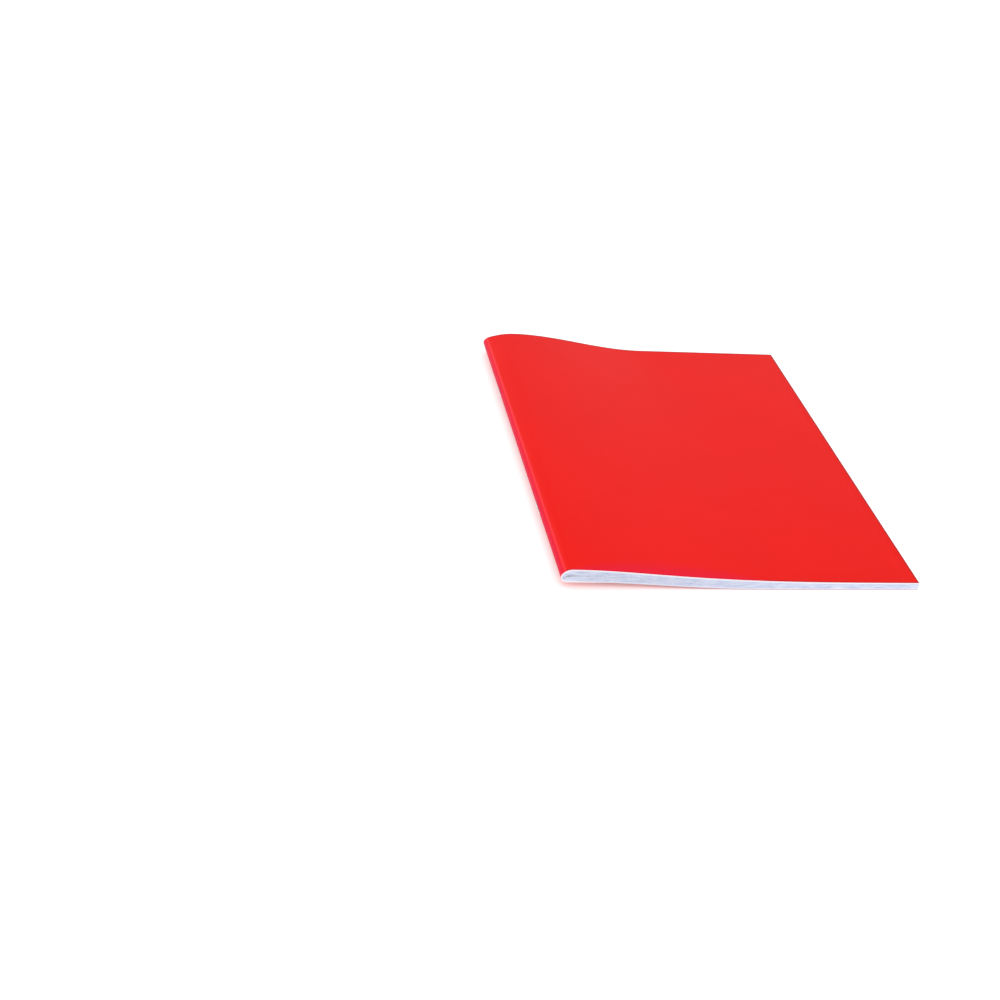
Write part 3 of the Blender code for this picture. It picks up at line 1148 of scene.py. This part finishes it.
class NOTEBOOK_OT_staples(bpy.types.Operator):
    """Two wire staples, clinched inside the centre fold"""

    bl_idname = "notebook.staples"
    bl_label = "Staples"

    def execute(self, context):
        wire = context.scene.notebook_sizes.wire
        outer = HINGE.x - SPINE_RADIUS - WIRE_CLEARANCE - wire / 2
        inner = HINGE.x - CLINCH_TO_AXIS - wire / 2
        half = STAPLE_CROWN / 2
        tip = CLINCH_TIP_GAP / 2
        from_middle = PAGE_HEIGHT / 2 - STAPLE_INSET
        for node, y in (("staple_tail", -from_middle), ("staple_head", from_middle)):
            route = [(inner, y - tip), (inner, y - half), (outer, y - half)]
            route += [(outer, y + half), (inner, y + half), (inner, y + tip)]
            curve = bpy.data.curves.new(node + "_route", "CURVE")
            curve.dimensions = "3D"
            spline = curve.splines.new("POLY")
            spline.points.add(len(route) - 1)
            for point, (x, along) in zip(spline.points, route):
                point.co = (x, along, HINGE.z, 1.0)
            values = {
                "Wire diameter": wire,
                "Bend radius": STAPLE_BEND,
                "Wire": material(context, "steel"),
            }
            piece = grow(context, node + "_wire", curve, [("wire", values)])
            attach(piece, "spine")
            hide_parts(node)
        return {"FINISHED"}


# Camera
CAMERA_PLACE = Vector((-0.308616, -0.910292, 0.507608))
CAMERA_AZIMUTH = math.radians(-12.208)
CAMERA_ELEVATION = math.radians(30.063)
CAMERA_ROLL = math.radians(6.903)
CAMERA_LENS = 61.287  # mm
SENSOR = 36.0  # mm

# Floor and lamps
FLOOR_SIZE = 6.0
KEY_SIZE = 2.4
KEY_PLACE = Vector((-0.65, -2.26, 1.98))
REAR_SIZE = 0.5
REAR_PLACE = Vector((-0.65, 1.15, 0.65))
FLOOR_WHITENING = 0.22  # lifts the lit floor to white where the camera or a mirror sees it


def camera_axes(azimuth, elevation, roll):
    """Right, up and back of a camera that looks level along +Y at azimuth 0."""
    back = Vector(
        (
            math.sin(azimuth) * math.cos(elevation),
            -math.cos(azimuth) * math.cos(elevation),
            math.sin(elevation),
        )
    )
    right = Vector((math.cos(azimuth), math.sin(azimuth), 0.0))
    up = back.cross(right)
    return (
        right * math.cos(roll) + up * math.sin(roll),
        up * math.cos(roll) - right * math.sin(roll),
        back,
    )


class NOTEBOOK_OT_stage(bpy.types.Operator):
    """White floor, soft light and the camera"""

    bl_idname = "notebook.stage"
    bl_label = "Stage"

    def execute(self, context):
        scene = context.scene
        self.add_floor(scene)
        self.add_light(scene)
        self.add_camera(scene)
        scene.view_settings.view_transform = "Standard"
        return {"FINISHED"}

    def seen_directly(self, tree, elsewhere, seen):
        """One value for the camera, mirror reflections and glass, another for what lights the scene."""
        ray = add_node(tree, "ShaderNodeLightPath").outputs
        mirrored = add_node(
            tree,
            "ShaderNodeMath",
            {0: ray["Is Glossy Ray"], 1: ray["Is Transmission Ray"]},
            operation="MAXIMUM",
        )
        direct = add_node(
            tree, "ShaderNodeMath", {0: ray["Is Camera Ray"], 1: mirrored}, operation="MAXIMUM"
        )
        return add_node(
            tree, "ShaderNodeMapRange", {"Value": direct, "To Min": elsewhere, "To Max": seen}
        )

    def add_floor(self, scene):
        """A sheet of white background paper."""
        made, tree, surface = new_material("white background paper")
        white = scene.notebook_colours.floor
        glow = self.seen_directly(tree, 0.0, FLOOR_WHITENING)
        fill(surface, {"Base Color": white, "Emission Color": white, "Emission Strength": glow})
        fill(surface, {"Roughness": 1.0, "Specular IOR Level": 0.0})
        half = FLOOR_SIZE / 2
        corners = [(-half, -half, 0.0), (half, -half, 0.0), (half, half, 0.0), (-half, half, 0.0)]
        mesh = bpy.data.meshes.new("floor")
        mesh.from_pydata(corners, [], [(0, 1, 2, 3)])
        mesh.materials.append(made)
        floor = bpy.data.objects.new("floor", mesh)
        scene.collection.objects.link(floor)

    def add_light(self, scene):
        """Even light from all sides, a broad lamp in front and a low one behind the spine."""
        world = bpy.data.worlds.new("white studio")
        world.use_nodes = True
        scene.world = world
        tree = world.node_tree
        strength = self.seen_directly(tree, scene.notebook_stage.sky, 1.0)
        fill(tree.nodes["Background"], {"Color": (1.0, 1.0, 1.0, 1.0), "Strength": strength})
        for name, size, place, power in (
            ("key_lamp", KEY_SIZE, KEY_PLACE, scene.notebook_stage.key),
            ("rear_lamp", REAR_SIZE, REAR_PLACE, scene.notebook_stage.rear),
        ):
            light = bpy.data.lights.new(name, "AREA")
            light.size = size
            light.energy = power
            lamp = bpy.data.objects.new(name, light)
            lamp.location = place
            lamp.rotation_euler = (-place).to_track_quat("-Z", "Y").to_euler()
            scene.collection.objects.link(lamp)

    def add_camera(self, scene):
        """The camera at the photograph's viewing angle."""
        made = bpy.data.cameras.new("camera")
        made.lens = CAMERA_LENS
        made.sensor_width = SENSOR
        made.clip_start = 0.01
        camera = bpy.data.objects.new("camera", made)
        right, up, back = camera_axes(CAMERA_AZIMUTH, CAMERA_ELEVATION, CAMERA_ROLL)
        turned = Matrix((right, up, back)).transposed().to_4x4()
        camera.matrix_world = Matrix.Translation(CAMERA_PLACE) @ turned
        scene.collection.objects.link(camera)
        scene.camera = camera


class NOTEBOOK_PT_panel(bpy.types.Panel):
    """Sizes, colours and steps of the notebook"""

    bl_label = "Notebook"
    bl_space_type = "VIEW_3D"
    bl_region_type = "UI"
    bl_category = "Notebook"

    def draw(self, context):
        for group in ("notebook_sizes", "notebook_colours", "notebook_stage"):
            settings = getattr(context.scene, group)
            box = self.layout.box()
            for name in settings.__annotations__:
                box.prop(settings, name)
        for operator in OPERATORS:
            self.layout.operator(operator.bl_idname)


OPERATORS = (
    NOTEBOOK_OT_stage,
    NOTEBOOK_OT_cover_panels,
    NOTEBOOK_OT_cover_spine,
    NOTEBOOK_OT_leaves,
    NOTEBOOK_OT_folds,
    NOTEBOOK_OT_staples,
)
SETTINGS = {
    "notebook_sizes": NotebookSizes,
    "notebook_colours": NotebookColours,
    "notebook_stage": NotebookStage,
}


def register():
    for group in (*SETTINGS.values(), *OPERATORS, NOTEBOOK_PT_panel):
        bpy.utils.register_class(group)
    for name, group in SETTINGS.items():
        setattr(bpy.types.Scene, name, bpy.props.PointerProperty(type=group))


def unregister():
    for name in SETTINGS:
        delattr(bpy.types.Scene, name)
    for group in (NOTEBOOK_PT_panel, *OPERATORS, *SETTINGS.values()):
        bpy.utils.unregister_class(group)


def main():
    register()
    for operator in OPERATORS:
        group, name = operator.bl_idname.split(".")
        getattr(getattr(bpy.ops, group), name)()


if __name__ == "__main__":
    main()
